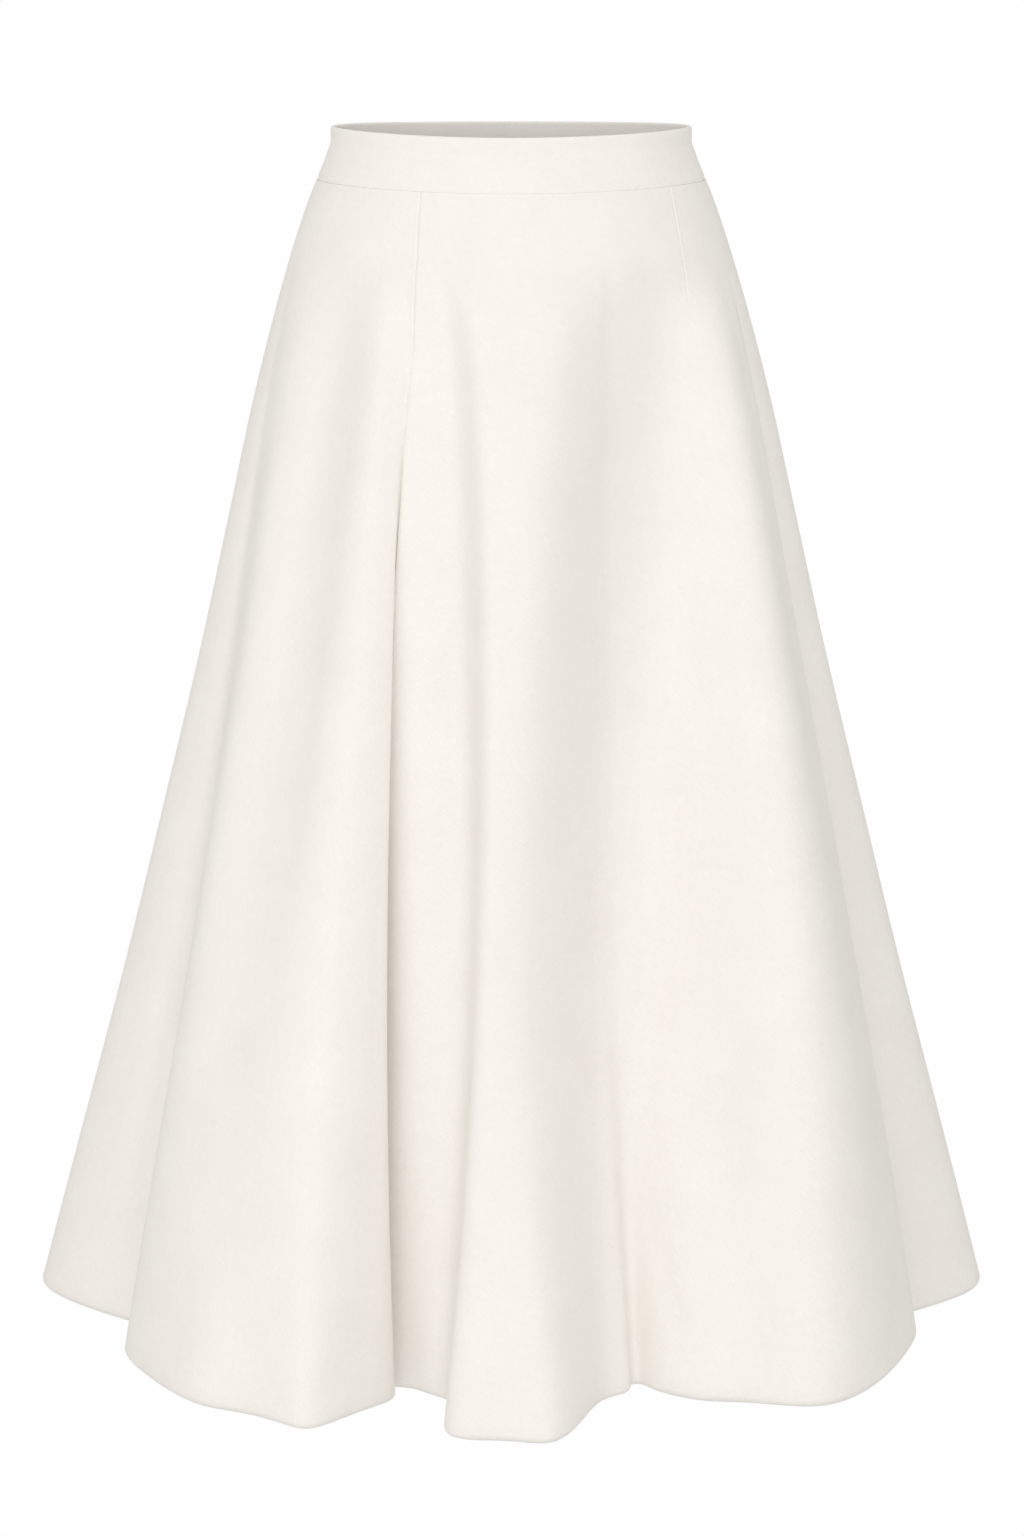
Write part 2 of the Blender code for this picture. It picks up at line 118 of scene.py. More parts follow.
# One row for each line along which the cloth bends, all round from the left side.
#   bearing  degrees round the hip where the line starts: 0 left side, 90 front, 180 right side
#   across   where it meets the hem, to the right of the middle, in mm
#   forward  where it meets the hem, in front of the middle, in mm
#   starts   share of the fall, from hip to hem, above which this line lies soft and unfolded
#   bow      how far it bows to the right half-way down, in mm
#   bulge    how far it bulges forward half-way down, in mm
#   high_bulge   the same a quarter of the way down, where the folds begin
#   roll     outer radius of the hem's roll there, in mm
FoldLine = namedtuple("FoldLine", "name bearing across forward starts bow bulge high_bulge roll")
FOLD_ROWS = (
    ("left side crest", 0, -338, -2, 0, 2, 0, 0, 6),
    ("left side crest, front", 6, -328, 27, 0, 3, 0, 0, 7),
    ("left side slope", 11, -296, 60, 0, 2, 0, 0, 7),
    ("left side valley", 15, -264, 86, 0, -3, -8, -2, 7),
    ("left side valley, front", 18, -243, 99, 0, -8, -2, -2, 6),
    ("left flute wall", 21, -255, 118, 0, -4, 8, -3, 5),
    ("left flute edge", 25, -266, 142, 0, 0, 22, -9.5, 5),
    ("left flute shoulder", 30, -248, 182, 0, -4.5, 15.5, -10.5, 7),
    ("left flute face", 36, -224, 222, 0, -3, -1, -6, 7),
    ("left flute turn", 42, -202, 246, 0, -4, -4.5, -12, 7),
    ("left flute dip", 48, -176, 253, 0, -8, 11.5, -22, 7),
    ("left flute ridge, left", 54, -150, 271, 0, -14, 6, -8, 7),
    ("left flute ridge", 58.5, -131, 289, 0, -6, -2, 7.5, 5),
    ("left flute ridge, right", 61.3, -106, 262, 0, -1, 1, 3, 6),
    ("pleat approach", 64.4, -90, 245, 0, -7, 3, 0, 6),
    ("pleat edge", 65.4, -73, 228, 0, -10.5, 6, -1.5, 4),
    ("pleat wall", 66.4, -77, 217, 0, -11.5, 0, 2.5, 4),
    ("pleat root", 67.6, -87, 208, 0, -13, -9, 8, 5),
    ("recess, left", 68.9, -78, 207, 0, -13.5, -8, 8.5, 5),
    ("recess", 70.4, -65, 209, 0, -9, 7, 0, 6),
    ("recess, right", 72.2, -54, 222, 0, 2, 6, -0.5, 6),
    ("centre flute wall", 74, -41, 229, 0, 9, 3, -4.5, 5),
    ("centre flute edge, back", 76, -39, 257, 0, 14, -2, 5, 5),
    ("centre flute edge", 78, -48, 290, 0, 18.5, -3.5, 14, 4),
    ("centre flute edge, front", 81, -28, 302, 0, 13, -6, 19.5, 5),
    ("centre flute face", 90, -3, 302, 0, -2, -10, 20.5, 7),
    ("centre flute turn, left", 98, 22, 310, 0, -13.5, -20, 27, 5),
    ("centre flute turn", 103, 37, 299, 0, -10.5, -30, 30.5, 5),
    ("centre flute slope", 107, 50, 262, 0, -7, -34, 27, 6),
    ("crease approach", 110, 60, 228, 0, -2.5, -35, 20, 5),
    ("crease edge", 111.8, 80, 219, 0.55, -4.5, -44, 19, 4),
    ("crease wall", 112.8, 78, 208, 0.55, -6, -44, 16.5, 4),
    ("crease root", 114, 84, 200, 0.55, -7, -45, 12, 5),
    ("crease, right", 115.4, 91, 213, 0.55, -2.5, -45.5, 5, 5),
    ("right flute dent", 117.8, 101, 223, 0, 4.5, -44.5, -1, 6),
    ("right flute dip", 122, 124, 238, 0, 3, -40.5, -11.5, 7),
    ("right flute face", 130, 156, 236, 0, -1.5, -12.5, -28, 7),
    ("right flute ridge", 138, 194, 247, 0, 3.5, 14, -28.5, 6),
    ("right flute shoulder", 145, 222, 235, 0, 11, 25, -20, 7),
    ("right flute slope", 151, 250, 194, 0, 13, 27, -15, 7),
    ("right flute edge", 156, 272, 136, 0, 6, 17, -13, 6),
    ("right flute wall", 160, 282, 98, 0, 8, 5, -10, 5),
    ("right side valley", 163, 258, 84, 0, 4, -5, -4.5, 6),
    ("right side slope", 167, 292, 57, 0, 0, 0, 0, 7),
    ("right side crest, front", 173, 328, 27, 0, 0, 0, 0, 7),
    ("right side crest", 180, 338, -2, 0, 0, 0, 0, 6),
    ("right side crest, back", 187, 322, -32, 0, 0, 0, 0, 7),
    ("back right valley, side", 193, 292, -64, 0, 3, 3, 0, 7),
    ("back right valley", 198, 264, -84, 0, -2, 5, 0, 7),
    ("back right flute wall", 203, 256, -108, 0, 4, -6, 3, 6),
    ("back right flute edge", 208, 270, -142, 0, 6, -13, 6, 6),
    ("back right flute face", 215, 250, -188, 0, 4, -19, 10, 7),
    ("back right flute crest", 222, 206, -230, 0, 3, -16, 12, 6),
    ("back right dip, side", 229, 168, -226, 0, 2, 3, 12, 7),
    ("back right dip", 236, 132, -214, 0, -2, 13, 4, 7),
    ("back inner right wall", 242, 114, -240, 0, -4, 10, -4, 6),
    ("back inner right crest", 249, 88, -296, 0, -6, -5, -10, 5),
    ("back inner right face", 256, 50, -292, 0, -4, -9, -8, 7),
    ("middle back valley, right", 263, 24, -262, 0, 0, 2, 1, 7),
    ("middle back valley", 270, 2, -254, 0, 0, 5, 2, 7),
    ("middle back valley, left", 276, -26, -266, 0, 0, 3, 1, 7),
    ("back inner left crest", 283, -60, -302, 0, 6, -8, -11, 6),
    ("back inner left face", 290, -98, -290, 0, 5, -6, -6, 7),
    ("back inner left wall", 296, -122, -250, 0, 4, 6, 6, 6),
    ("back left dip", 303, -144, -222, 0, 2, 13, 10, 7),
    ("back left dip, side", 309, -174, -226, 0, -2, 8, 13, 7),
    ("back left flute crest", 316, -210, -238, 0, -4, -11, 8, 6),
    ("back left flute face", 325, -244, -190, 0, -6, -20, 6, 7),
    ("back left flute edge", 333, -270, -142, 0, -6, -16, 4, 6),
    ("back left flute wall", 338.5, -260, -106, 0, -4, -8, 2, 6),
    ("back left valley", 343, -264, -84, 0, -2, 4, 0, 7),
    ("back left valley, side", 348, -292, -62, 0, 0, 2, 0, 7),
    ("left side crest, back", 354, -320, -30, 0, 0, 0, 0, 7),
)
FOLD_LINES = tuple(FoldLine(*row) for row in FOLD_ROWS)
FOLD_START = 0.03               # share of the fall over which the folds fade in below the hip
HIGH_SWING_PEAK = 0.25 * 0.75**3
SOFTENING_ROUNDS = 12           # how far a fold line that starts late is evened out above its start

FRONT_SEAM = "pleat root"
RIGHT_SEAM = "right side crest"
BACK_SEAM = "middle back valley"
LEFT_SEAM = "left side crest"
SEAM_LEAN = 4.3                 # degrees by which the front seam leans left from its line at the waist
SEAM_LEAN_FOOT = -120.0 * MM    # the height where it starts to lean
SEAM_LEAN_REACH = 12            # degrees to either side over which its neighbours lean with it

# Soft troughs laid on the cloth, from one point to another.
#   top_bearing, bottom_bearing   degrees, as in the fold lines
#   top, bottom                   heights, in mm
#   width, depth                  in mm
Crease = namedtuple("Crease", "name top_bearing top bottom_bearing bottom width depth")
CREASE_ROWS = (
    ("left flute valley", 53, -80, 48, -560, 14, 1.5),
    ("right of the pleat", 71, -80, 75, -520, 14, 2.0),
    ("left side flute", 13, -430, 13, -775, 10, 1.6),
    ("right of the low crease", 115.5, -670, 121.5, -785, 9, 1.8),
    ("right flute face", 129, -520, 126, -775, 24, 2.2),
    ("back right flute", 218, -120, 213, -600, 16, 2.0),
    ("back inner right crest", 246, -500, 250, -770, 12, 1.8),
    ("middle of the back", 262, -140, 259, -560, 14, 1.8),
    ("back left dip", 301, -420, 298, -770, 12, 2.0),
    ("back left flute", 320, -160, 326, -680, 18, 2.2),
)
CREASES = tuple(Crease(*row) for row in CREASE_ROWS)
CREASE_MARGIN = 20              # degrees past a panel's ends from which a crease still reaches in

# The dart at the right hip: a fine groove with a fine ridge on its right, in fold lines past the
# "right flute ridge" at the waist and at its point, and in mm.
Dart = namedtuple("Dart", "line past_at_top past_at_point point width depth ridge")
DART = Dart("right flute ridge", 0.71, 0.06, -132, 0.7, 0.22, 0.17)
DART_REACH = 1.8                # how far, in fold lines, the columns beside the dart lean with it
DART_STEP = 0.016               # between the fine columns at the dart, in fold lines

COLUMNS_PER_FOLD_LINE = 7
PANEL_ROWS = 110
ROLL_STEPS = 12
RETURN_ROWS = 4
ROLL_START = 8 * MM             # height above the hem where the roll begins
NEAR_SEAM = (0.03, 0.07, 0.12, 0.18, 0.26, 0.36)    # columns beside a seam, in fold lines
DIRECTION_STEP = 0.15           # to either side, in fold lines, where the hem's direction is read
SHARP_ANGLE = radians(50)

BAND_ROWS = 40
BAND_FOLD_STEPS = 11
BAND_EDGE = 0.7 * MM            # how far the waistband's seams pinch it
BAND_PATTERN_RADIUS = 0.105     # mean radius for the cloth's grain

SEAM_STEPS = 70                 # places read to either side of a seam, a tenth of a fold line apart
OVERCAST_REACH = 0.3 * MM       # how far the overcasting passes the allowance's edge
OVERCAST_WIDTH = 2.4 * MM
OVERCAST_PITCH = 1.3 * MM
HEM_CATCH_PITCH = 3.2 * MM
HEM_CATCH_RISE = 2.6 * MM


# ------------------------------------------------------------------ curves and the skirt's form
def spline(values, at):
    """Periodic cubic B-spline through a column of values, read at fractional places."""
    values = np.asarray(values, float)
    first = np.floor(at).astype(int)
    t = at - first
    before, here, after, second = (values[(first + step) % len(values)] for step in (-1, 0, 1, 2))
    return (
        before * (1 - t) ** 3
        + here * (3 * t**3 - 6 * t**2 + 4)
        + after * (-3 * t**3 + 3 * t**2 + 3 * t + 1)
        + second * t**3
    ) / 6


def eased_table(table, heights):
    """Half widths at any heights, on a smooth curve through a table of sections."""
    tall = np.array([section.height for section in table])[::-1]
    wide = np.array([section.half_width for section in table])[::-1]
    slope = np.gradient(wide, tall)
    at = np.clip(np.searchsorted(tall, heights) - 1, 0, len(tall) - 2)
    step = tall[at + 1] - tall[at]
    t = (heights - tall[at]) / step
    return (
        wide[at] * (2 * t**3 - 3 * t**2 + 1)
        + wide[at + 1] * (3 * t**2 - 2 * t**3)
        + slope[at] * step * (t**3 - 2 * t**2 + t)
        + slope[at + 1] * step * (t**3 - t**2)
    )


def eased(share):
    """0 to 1 with soft ends."""
    share = np.clip(share, 0, 1)
    return share * share * (3 - 2 * share)


def oval(bearing, half_width):
    """Across and forward on the oval of waist and hip."""
    depth = np.where(np.sin(bearing) > 0, DEPTH_OF_WIDTH_FRONT, DEPTH_OF_WIDTH_BACK)
    return -half_width * np.cos(bearing), half_width * depth * np.sin(bearing)


def leaning(bearing, height):
    """Bearings of the fold lines at a height: towards the waist they lean left along the front seam."""
    share = np.clip((height - SEAM_LEAN_FOOT) / (PANEL_SECTIONS[0].height - SEAM_LEAN_FOOT), 0, 1)
    seam = next(line.bearing for line in FOLD_LINES if line.name == FRONT_SEAM)
    near = np.exp(-(((np.degrees(bearing) - seam) / SEAM_LEAN_REACH) ** 2))
    return bearing - np.radians(SEAM_LEAN * share**1.2 * near)


def seam_sag(bearing):
    """How far the waist seam hangs below its height at the sides."""
    return np.where(np.sin(bearing) > 0, SEAM_SAG_FRONT, SEAM_SAG_BACK) * np.sin(bearing) ** 2


def softened(values):
    """A column of the fold table evened out over its neighbours."""
    values = np.asarray(values, float)
    for _ in range(SOFTENING_ROUNDS):
        values = (np.roll(values, 1) + 2 * values + np.roll(values, -1)) / 4
    return values


class Form:
    """The outer surface of the worn skirt, from its tables."""

    def __init__(self, places):
        self.places = np.asarray(places, float)
        count = len(FOLD_LINES)
        lead = [line.bearing - 360 * index / count for index, line in enumerate(FOLD_LINES)]
        self.bearing = np.radians(spline(lead, self.places) + 360 * self.places / count)
        for column in ("bow", "bulge", "high_bulge", "roll"):
            setattr(self, column, spline([getattr(line, column) * MM for line in FOLD_LINES], self.places))
        self.hem = {}
        for column in ("across", "forward"):
            table = np.array([getattr(line, column) * MM for line in FOLD_LINES])
            self.hem[column] = (table, softened(table))
        self.starts = np.array([line.starts for line in FOLD_LINES])
        self.hem_across, self.hem_forward = self.hem_loop(1.0)
        self.into = self.inward()

    def hem_loop(self, share):
        """The hem's outline as it counts for a loop this share of the way down."""
        span = np.maximum(1 - self.starts, 0.2)
        ready = np.where(self.starts > 0, eased((share - self.starts) / span), 1.0)
        loops = []
        for table, soft in self.hem.values():
            loops.append(spline(soft + (table - soft) * ready, self.places))
        return loops

    def inward(self):
        """Unit directions into the skirt, square to the hem's outline."""
        ahead, behind = self.hem_at(DIRECTION_STEP), self.hem_at(-DIRECTION_STEP)
        along_x, along_y = ahead[0] - behind[0], ahead[1] - behind[1]
        length = np.hypot(along_x, along_y)
        return along_y / length, -along_x / length

    def hem_at(self, step):
        """The hem's outline read a little further along."""
        return [spline(table, self.places + step) for table, _ in self.hem.values()]

    def loop(self, height):
        """Across and forward all round the skirt at one height."""
        half_width = float(eased_table(PANEL_SECTIONS, np.array([height]))[0])
        across, forward = oval(leaning(self.bearing, height), half_width)
        share = (half_width - HIP.half_width) / (HEM_HALF_WIDTH - HIP.half_width)
        if share <= 0:
            return across, forward
        grown = share * share * (1 + FOLD_START) / (share + FOLD_START)
        hem_across, hem_forward = self.hem_loop(share)
        full_across, full_forward = oval(self.bearing, HEM_HALF_WIDTH)
        swing = 4 * share * (1 - share)
        high_swing = share * (1 - share) ** 3 / HIGH_SWING_PEAK
        across = across + (hem_across - full_across) * grown + self.bow * swing
        forward = forward + (hem_forward - full_forward) * grown + self.bulge * swing
        return across, forward + self.high_bulge * high_swing

    def along_dart(self, height):
        """The form with its columns leaning along the dart, as they lie at one height."""
        left = dart_left(height)
        if left <= 0:
            return self
        middle = place_of(DART.line) + DART.past_at_point
        lean = (DART.past_at_top - DART.past_at_point) * left**2.5
        return Form(self.places + lean * np.exp(-(((self.places - middle) / DART_REACH) ** 2)))

    def surface(self, hem_return):
        """Outer points: rows from the waist seam down, round the hem's roll and up its return."""
        roll_top = HEM_HEIGHT + self.roll
        rows = []
        for step in range(PANEL_ROWS + 1):
            share = step / PANEL_ROWS
            height = float(PANEL_TOP + (HEM_HEIGHT + ROLL_START - PANEL_TOP) * share)
            form = self.along_dart(height)
            across, forward = form.loop(height)
            lift = (roll_top - HEM_HEIGHT - ROLL_START) * share**8
            near_waist = eased((height - HIP.height) / (PANEL_TOP - HIP.height))
            sag = seam_sag(leaning(form.bearing, height)) * near_waist
            rows.append(np.stack([across, -forward, height + lift - sag], axis=-1))
        last = rows[-1]
        for step in range(1, ROLL_STEPS + 1):
            turn = pi * step / ROLL_STEPS
            reach = self.roll * (1 - cos(turn))
            drop = self.roll * sin(turn)
            rows.append(last + np.stack([self.into[0] * reach, -self.into[1] * reach, -drop], axis=-1))
        for step in range(1, RETURN_ROWS + 1):
            up = hem_return * step / RETURN_ROWS
            across, forward = self.loop(HEM_HEIGHT + ROLL_START + up)
            across = across + self.into[0] * (2 * self.roll)
            forward = forward + self.into[1] * (2 * self.roll)
            rows.append(np.stack([across, -forward, last[:, 2] + up], axis=-1))
        return np.stack(rows)


def place_of(name):
    """Where a named fold line lies along the loop, counted in fold lines."""
    return [line.name for line in FOLD_LINES].index(name)


def dart_left(height):
    """The share of the dart that lies below a height, or below 0 past its point."""
    return (height - DART.point * MM) / (PANEL_TOP - DART.point * MM)


def unit(vectors):
    """Vectors of a grid, each made one long."""
    return vectors / np.linalg.norm(vectors, axis=-1, keepdims=True)


def grid_normals(points):
    """Normals of a grid of points, rows down and columns round, pointing out of the cloth."""
    return unit(np.cross(np.gradient(points, axis=0), np.gradient(points, axis=1)))


def lengths_along(points, axis):
    """How far each point lies from the first one, along the rows or along the columns."""
    steps = np.linalg.norm(np.diff(points, axis=axis), axis=-1)
    first = np.zeros_like(np.take(steps, [0], axis=axis))
    return np.cumsum(np.concatenate([first, steps], axis=axis), axis=axis)


def panel_places(first, last):
    """Places of a panel's columns, closer near its seams and its dart, with a spare one past each end."""
    near = np.array(NEAR_SEAM)
    even = np.linspace(first, last, int((last - first) * COLUMNS_PER_FOLD_LINE) + 1)
    even = even[(even > first + near[-1] + 0.05) & (even < last - near[-1] - 0.05)]
    inside = np.concatenate([[first], first + near, even, last - near[::-1], [last]])
    dart = place_of(DART.line) + DART.past_at_point
    if first < dart < last:
        fine = dart + np.arange(-9, 11) * DART_STEP
        clear = (inside < fine[0] - 0.02) | (inside > fine[-1] + 0.02)
        inside = np.sort(np.concatenate([inside[clear], fine]))
    return np.concatenate([[first - near[0]], inside, [last + near[0]]])


# ------------------------------------------------------------------ soft creases and seam grooves
def crease_depths(form, points, heights):
    """How far each point of the panel sinks in the listed creases."""
    run = lengths_along(points, 1)
    degrees = np.degrees(form.bearing)
    sunk = np.zeros(heights.shape)
    for crease in CREASES:
        for row, height in enumerate(heights[:, 0] / MM):
            share = (crease.top - height) / (crease.top - crease.bottom)
            if not 0 < share < 1:
                continue
            bearing = crease.top_bearing + (crease.bottom_bearing - crease.top_bearing) * share
            for turn in (0, 360, -360):
                if not degrees[0] - CREASE_MARGIN < bearing + turn < degrees[-1] + CREASE_MARGIN:
                    continue
                reach = 1e-9 + np.gradient(run[row], degrees)
                away = run[row] - np.interp(bearing + turn, degrees, run[row])
                past = bearing + turn - np.clip(bearing + turn, degrees[0], degrees[-1])
                away = away - past * reach[0 if past < 0 else -1]
                shape = np.exp(-((away / (crease.width * MM)) ** 2))
                sunk[row] += crease.depth * MM * shape * sin(pi * share) ** 0.8
    return sunk


def seam_grooves(points, sizes):
    """How far the outer skin sinks at the seams at a panel's ends and top, with a plump rim beside them."""
    run = lengths_along(points, 1)
    from_ends = np.minimum(run, run[:, -1:] - run)
    from_top = lengths_along(points, 0)
    groove = np.exp(-((from_ends / sizes.groove_width) ** 2))
    top = np.exp(-((from_top / sizes.groove_width) ** 2))
    rim = np.exp(-((from_ends / sizes.groove_width - 2) ** 2))
    return sizes.groove_depth * np.maximum(groove, 0.6 * top) - sizes.seam_rim * rim


def dart_groove(places, points):
    """How far the outer skin sinks along the dart, and rises just right of it."""
    middle = place_of(DART.line) + DART.past_at_point
    if not places[0] < middle < places[-1]:
        return np.zeros(points.shape[:2])
    run = lengths_along(points, 1)
    beside = np.abs(places - middle).argmin()
    away = (run - run[:, beside : beside + 1]) / (DART.width * MM)
    left = eased(dart_left(points[:, beside, 2]) / 0.8)
    sunk = DART.depth * np.exp(-(away**2)) - DART.ridge * np.exp(-((away - 1.8) ** 2))
    return sunk * MM * left[:, None]


# ------------------------------------------------------------------ meshes
def grid_faces(rows, columns, start=0):
    """Quads of a grid of points, rows down and columns round, seen from outside."""
    corner = start + (np.arange(rows - 1)[:, None] * columns + np.arange(columns - 1)[None, :])
    return np.stack([corner, corner + columns, corner + columns + 1, corner + 1], axis=-1).reshape(-1, 4)


def map_pattern(data, pattern):
    """The cut pattern, a place for each point, as the mesh's UV map, in metres."""
    layer = data.uv_layers.new(name="cut_pattern")
    corners = np.empty(len(data.loops), dtype=np.int32)
    data.loops.foreach_get("vertex_index", corners)
    layer.data.foreach_set("uv", pattern[corners].ravel())


def wall_mesh(name, outer, inner, pattern):
    """A closed wall between two grids, with the cut pattern as its UV map, in metres."""
    rows, columns = outer.shape[:2]
    count = rows * columns
    rim = np.concatenate(
        [
            np.arange(columns - 1),
            np.arange(rows - 1) * columns + columns - 1,
            (rows - 1) * columns + np.arange(columns - 1, 0, -1),
            np.arange(rows - 1, 0, -1) * columns,
        ]
    )
    ahead = np.roll(rim, -1)
    faces = np.concatenate(
        [
            grid_faces(rows, columns),
            grid_faces(rows, columns, count)[:, ::-1],
            np.stack([rim, ahead, ahead + count, rim + count], axis=-1),
        ]
    )
    points = np.concatenate([outer.reshape(-1, 3), inner.reshape(-1, 3)])
    data = bpy.data.meshes.new(name)
    data.from_pydata(points.tolist(), [], faces.tolist())
    map_pattern(data, np.concatenate([pattern.reshape(-1, 2)] * 2))
    data.shade_smooth()
    data.set_sharp_from_angle(angle=SHARP_ANGLE)
    return data


def linked(name, data):
    """A new object in the scene."""
    made = bpy.data.objects.new(name, data)
    bpy.context.scene.collection.objects.link(made)
    return made


def add_piece(name, data, material):
    """A finished piece at the origin, in the cloth's slot and on the skirt's one body."""
    old = bpy.data.objects.get(name)
    if old is not None:
        bpy.data.objects.remove(old, do_unlink=True)
    piece = linked(name, data)
    data.materials.clear()
    data.materials.append(material)
    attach(piece, BODY)
    return piece


# ------------------------------------------------------------------ materials
def add_node(tree, kind, values=None, **settings):
    """A node of a tree, with its settings, and a value or another node's output for its inputs."""
    node = tree.nodes.new(kind)
    for setting, value in settings.items():
        setattr(node, setting, value)
    for socket, value in (values or {}).items():
        if isinstance(value, bpy.types.NodeSocket):
            tree.links.new(value, node.inputs[socket])
        else:
            node.inputs[socket].default_value = value
    return node


def maths(tree, operation, *terms):
    """The result of one Math node on outputs or plain numbers."""
    return add_node(tree, "ShaderNodeMath", dict(enumerate(terms)), operation=operation).outputs[0]


def new_group(name, kind, inputs, outputs):
    """A node group with these sockets, its input's outputs and its output's inputs."""
    tree = bpy.data.node_groups.new(name, kind)
    for in_out, sockets in (("INPUT", inputs), ("OUTPUT", outputs)):
        for socket, value_kind, default in sockets:
            kind_name = "NodeSocket" + value_kind
            made = tree.interface.new_socket(name=socket, in_out=in_out, socket_type=kind_name)
            if default is not None:
                made.default_value = default
    return tree, add_node(tree, "NodeGroupInput").outputs, add_node(tree, "NodeGroupOutput").inputs


GEOMETRY = ("Geometry", "Geometry", None)


def nap_group():
    """Node group: the crepe's brushed grain, as a tone and a height."""
    name = "Brushed crepe nap"
    if name in bpy.data.node_groups:
        return bpy.data.node_groups[name]
    inputs = (
        ("Pattern", "Vector", None),
        ("Fibre Length", "Float", 0.007),
        ("Fibre Width", "Float", 0.0012),
        ("Cloudiness", "Float", 0.5),
    )
    outputs = (("Tone", "Float", None), ("Height", "Float", None))
    tree, enter, leave = new_group(name, "ShaderNodeTree", inputs, outputs)

    def noise(place, scale, detail, roughness):
        """Flat noise at these places."""
        values = {"Vector": place, "Scale": scale, "Detail": detail, "Roughness": roughness}
        return add_node(tree, "ShaderNodeTexNoise", values, noise_dimensions="2D").outputs["Fac"]

    def stretched(angle, detail, offset):
        """Noise drawn out along one direction of the cloth."""
        values = {"Vector": enter["Pattern"], "Rotation": (0, 0, radians(angle)), "Location": offset}
        turned = add_node(tree, "ShaderNodeMapping", values)
        split = add_node(tree, "ShaderNodeSeparateXYZ", {"Vector": turned.outputs["Vector"]})
        scaled = {
            axis: maths(tree, "DIVIDE", split.outputs[axis], enter[size])
            for axis, size in (("X", "Fibre Length"), ("Y", "Fibre Width"))
        }
        joined = add_node(tree, "ShaderNodeCombineXYZ", scaled)
        return noise(joined.outputs["Vector"], 1.0, detail, 0.6)

    naps = {"Factor": 0.3, "A": stretched(-52, 3.0, (0, 0, 0)), "B": stretched(38, 2.0, (0.7, 0.3, 0))}
    both = add_node(tree, "ShaderNodeMix", naps, data_type="FLOAT").outputs["Result"]
    cloud = maths(tree, "ADD", noise(enter["Pattern"], 22.0, 3.0, 0.55), -0.5)
    tone = maths(tree, "ADD", both, maths(tree, "MULTIPLY", cloud, enter["Cloudiness"]))
    tree.links.new(tone, leave["Tone"])
    tree.links.new(both, leave["Height"])
    return tree


def new_material(name, settings):
    """A material, its tree and its Principled BSDF with these settings."""
    material = bpy.data.materials.new(name)
    material.use_nodes = True
    shader = material.node_tree.nodes["Principled BSDF"]
    for socket, value in settings.items():
        shader.inputs[socket].default_value = value
    return material, material.node_tree, shader


def crepe_material(name, colours, nap_depth, fibre_width):
    """Matt ivory crepe with a brushed grain and a faint sheen."""
    if name in bpy.data.materials:
        return bpy.data.materials[name]
    settings = {
        "Roughness": 0.9,
        "Specular IOR Level": 0.25,
        "Sheen Weight": 0.12,
        "Sheen Roughness": 0.5,
        "Sheen Tint": (1.0, 0.98, 0.95, 1.0),
    }
    material, tree, shader = new_material(name, settings)
    pattern = add_node(tree, "ShaderNodeUVMap", uv_map="cut_pattern").outputs["UV"]
    nap = add_node(tree, "ShaderNodeGroup", node_tree=nap_group())
    nap.inputs["Fibre Width"].default_value = fibre_width
    tree.links.new(pattern, nap.inputs["Pattern"])
    raised = {"Value": nap.outputs["Tone"], "From Min": 0.25, "From Max": 0.75}
    shades = {
        "Factor": add_node(tree, "ShaderNodeMapRange", raised).outputs["Result"],
        "A": (*colours.cloth_hollow, 1.0),
        "B": (*colours.cloth, 1.0),
    }
    blend = add_node(tree, "ShaderNodeMix", shades, data_type="RGBA")
    bumps = {"Height": nap.outputs["Height"], "Strength": 1.0, "Distance": nap_depth}
    bump = add_node(tree, "ShaderNodeBump", bumps)
    tree.links.new(blend.outputs["Result"], shader.inputs["Base Color"])
    tree.links.new(bump.outputs["Normal"], shader.inputs["Normal"])
    return material


def thread_material(colours):
    """Ivory sewing thread with a soft shine."""
    name = "ivory_thread"
    if name in bpy.data.materials:
        return bpy.data.materials[name]
    material, tree, shader = new_material(name, {"Roughness": 0.55})
    where = add_node(tree, "ShaderNodeTexCoord").outputs["Object"]
    twist = add_node(tree, "ShaderNodeTexNoise", {"Vector": where, "Scale": 900.0, "Detail": 2.0})
    shades = {
        "Factor": twist.outputs["Fac"],
        "A": (*[part * 0.86 for part in colours.thread], 1.0),
        "B": (*colours.thread, 1.0),
    }
    shade = add_node(tree, "ShaderNodeMix", shades, data_type="RGBA")
    tree.links.new(shade.outputs["Result"], shader.inputs["Base Color"])
    return material


# ------------------------------------------------------------------ the panels
PANELS = (
    ("front_left", LEFT_SEAM, FRONT_SEAM),
    ("front_right", FRONT_SEAM, RIGHT_SEAM),
    ("back_right", RIGHT_SEAM, BACK_SEAM),
    ("back_left", BACK_SEAM, LEFT_SEAM),
)


def cut_pattern(points):
    """The panel laid flat as the piece of a ring that it was cut from, in metres, and its area."""
    down = lengths_along(points, 0).mean(axis=1)
    girth = lengths_along(points, 1)[:, -1]
    hem_row = PANEL_ROWS
    flare = (girth[hem_row] - girth[0]) / down[hem_row]
    apex = girth[0] / flare
    share = lengths_along(points[: hem_row + 1], 1) / girth[: hem_row + 1, None]
    share = np.concatenate([share, np.repeat(share[-1:], len(points) - hem_row - 1, axis=0)])
    angle = (share - 0.5) * flare
    radius = (apex + down)[:, None]
    flat = np.stack([radius * np.sin(angle), radius * np.cos(angle) - apex], axis=-1)
    area = float(((girth[1:] + girth[:-1]) / 2 * np.diff(down)).sum())
    width = float(2 * (apex + down[-1]) * sin(min(flare / 2, pi / 2)))
    length = float(down[-1] + apex * (1 - cos(flare / 2)))
    return flat, (width, length), area


